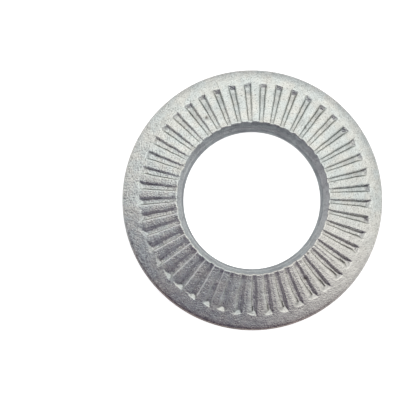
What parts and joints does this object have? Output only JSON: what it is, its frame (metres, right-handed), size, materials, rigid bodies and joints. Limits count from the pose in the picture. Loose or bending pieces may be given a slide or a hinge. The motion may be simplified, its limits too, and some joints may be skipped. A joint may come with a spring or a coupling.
{
  "type": "contact washer",
  "caption": "Coned spring steel washer with radial grooves pressed into its raised face, open into a round bore, and a smooth band round the rim.",
  "frame": {"origin": "on the bore's axis, in the plane that the rim rests on", "axes": "+Z along the bore's axis, towards the grooved and raised face; X and Y are free, with a groove along +X"},
  "size_m": [0.027, 0.027, 0.0029],
  "materials": {
    "zinc_steel": "dull grey zinc plating on spring steel, fine-grained, with small dents from pressing and tumbling"
  },
  "bodies": {
    "root": {"contact_washer": "zinc_steel"}
  },
  "joints": []
}
